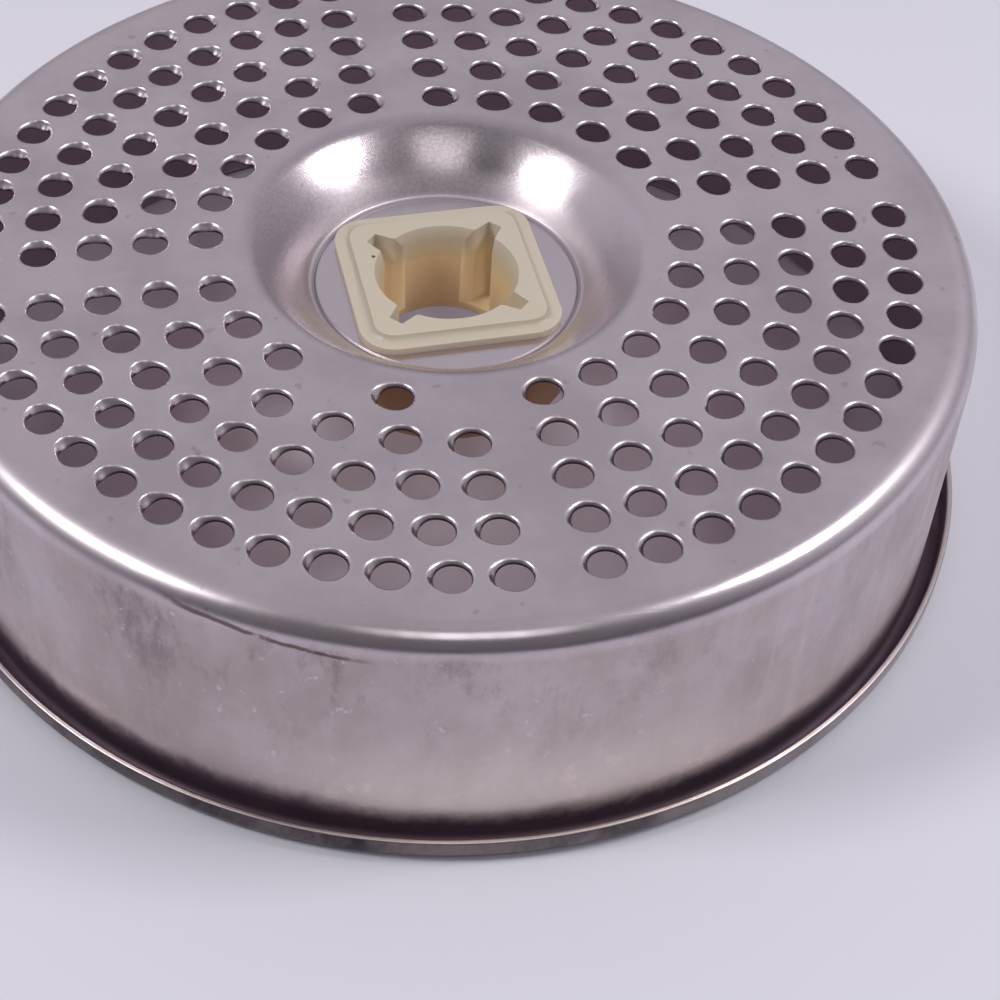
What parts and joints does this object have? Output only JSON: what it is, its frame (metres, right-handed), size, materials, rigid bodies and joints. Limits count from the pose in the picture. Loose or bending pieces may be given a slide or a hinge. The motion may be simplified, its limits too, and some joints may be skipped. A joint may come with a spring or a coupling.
{
  "type": "juicer mesh screen",
  "caption": "Perforated stainless steel drum for a juicer, with a dished centre, a rim turned up into a narrow hem and a moulded plastic hub with a keyed drive bore.",
  "frame": {"origin": "on the drum's axis, at the surface that the rim stands on", "axes": "+Z along the axis, from the open rim up to the perforated top; the blank strips between the quarters of the hole field lie along X and Y, and the viewer of the picture stands towards -Y"},
  "size_m": [0.143, 0.143, 0.0364],
  "materials": {
    "steel": "satin, lightly scuffed",
    "hub_plastic": "satin, stained"
  },
  "bodies": {
    "root": {"strainer_drum": "steel", "drive_hub": "hub_plastic"}
  },
  "joints": []
}
